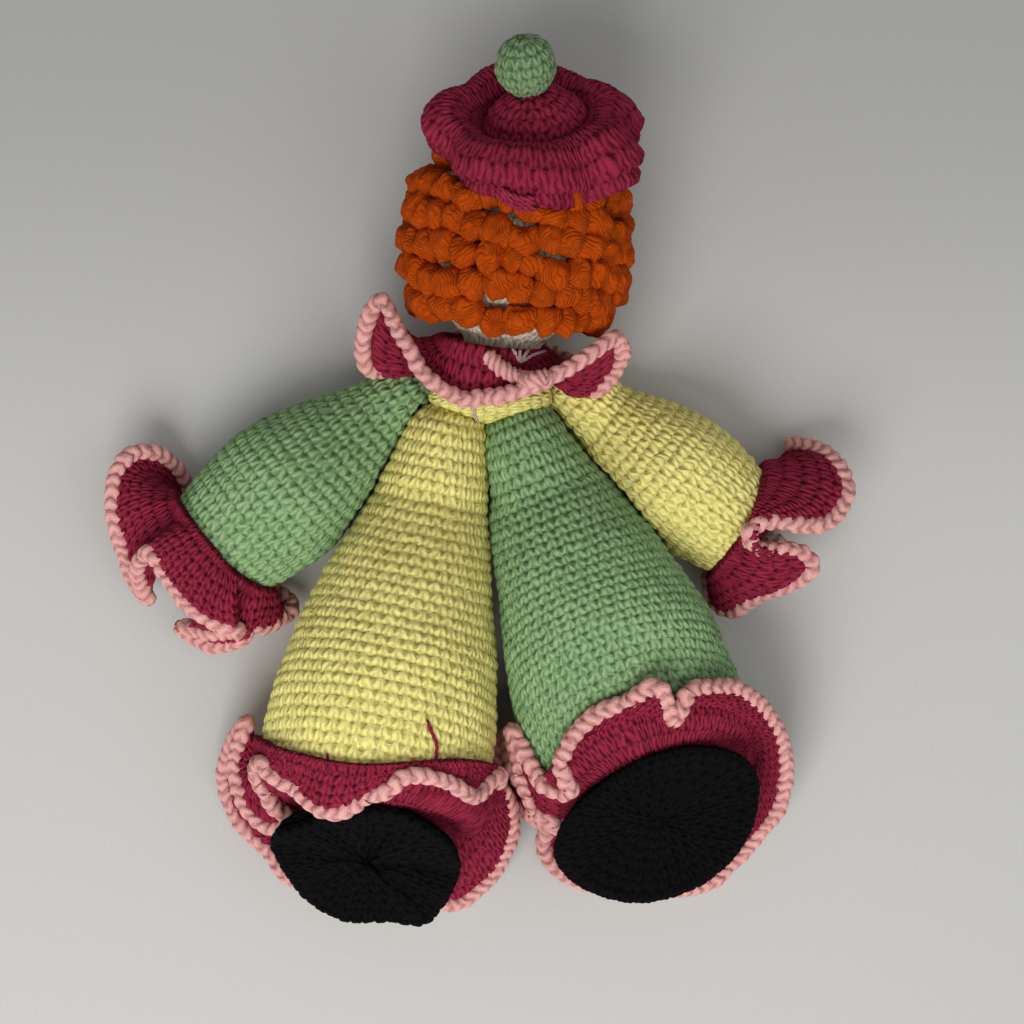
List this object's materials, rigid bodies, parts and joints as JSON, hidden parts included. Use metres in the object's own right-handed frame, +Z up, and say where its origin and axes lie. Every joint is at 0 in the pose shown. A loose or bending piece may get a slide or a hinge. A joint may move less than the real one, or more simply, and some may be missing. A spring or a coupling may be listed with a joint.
{
  "type": "crochet clown doll",
  "caption": "Floppy crocheted clown doll lying on its front, with stuffed cone limbs that swing at their sewn tips, a turning head, ruffled collar, cuffs and ankles, and shoes.",
  "frame": {"origin": "on the table, under the middle of the yoke where the head and the limbs are sewn together", "axes": "+Z up from the table to the doll's back, +Y towards the head, +X towards the doll's right side"},
  "size_m": [0.2823, 0.3281, 0.0931],
  "materials": {
    "crimson_yarn": "crocheted acrylic yarn",
    "pink_yarn": "crocheted acrylic yarn",
    "green_yarn": "crocheted acrylic yarn",
    "yellow_yarn": "crocheted acrylic yarn",
    "mint_yarn": "crocheted acrylic yarn",
    "orange_yarn": "crocheted acrylic yarn",
    "white_yarn": "crocheted acrylic yarn",
    "black_yarn": "crocheted acrylic yarn"
  },
  "bodies": {
    "torso": {"yoke": "yellow_yarn", "collar_ruffle": "crimson_yarn", "collar_edging": "pink_yarn"},
    "head_unit": {"head": "white_yarn", "nose": "crimson_yarn", "hair_rope_1": "orange_yarn", "hair_rope_2": "orange_yarn", "hair_rope_3": "orange_yarn", "hair_rope_4": "orange_yarn", "hair_rope_5": "orange_yarn", "hair_rope_6": "orange_yarn", "hat_crown": "crimson_yarn", "hat_brim_upper": "crimson_yarn", "hat_brim_lower": "crimson_yarn", "hat_pompom": "mint_yarn"},
    "left_arm_unit": {"left_arm": "green_yarn", "left_cuff_ruffle": "crimson_yarn", "left_cuff_edging": "pink_yarn", "left_hand": "white_yarn"},
    "right_arm_unit": {"right_arm": "yellow_yarn", "right_cuff_ruffle": "crimson_yarn", "right_cuff_edging": "pink_yarn", "right_hand": "white_yarn"},
    "left_leg_unit": {"left_leg": "yellow_yarn", "left_ankle_ruffle": "crimson_yarn", "left_ankle_edging": "pink_yarn", "left_shoe_upper": "black_yarn", "left_shoe_sole": "black_yarn"},
    "right_leg_unit": {"right_leg": "green_yarn", "right_ankle_ruffle": "crimson_yarn", "right_ankle_edging": "pink_yarn", "front_ruffle": "crimson_yarn", "front_ruffle_edging": "pink_yarn", "right_shoe_upper": "black_yarn", "right_shoe_sole": "black_yarn"}
  },
  "joints": [
    {"name": "neck_turn", "type": "hinge", "parent": "torso", "child": "head_unit", "pos_m": [0.0042, 0.016, 0.0327], "axis": [0.136, 0.9751, 0.175], "range_deg": [-40, 40]},
    {"name": "left_shoulder", "type": "hinge", "parent": "torso", "child": "left_arm_unit", "pos_m": [-0.0335, 0.0015, 0.009], "axis": [0, 0, -1], "range_deg": [0, 36]},
    {"name": "right_shoulder", "type": "hinge", "parent": "torso", "child": "right_arm_unit", "pos_m": [0.0335, 0.0015, 0.009], "axis": [0, 0, 1], "range_deg": [0, 36]},
    {"name": "left_hip", "type": "hinge", "parent": "torso", "child": "left_leg_unit", "pos_m": [-0.0183, -0.0209, 0.0115], "axis": [1, 0, 0], "range_deg": [-30, 85]},
    {"name": "right_hip", "type": "hinge", "parent": "torso", "child": "right_leg_unit", "pos_m": [0.0151, -0.0209, 0.0115], "axis": [1, 0, 0], "range_deg": [-30, 85]}
  ]
}
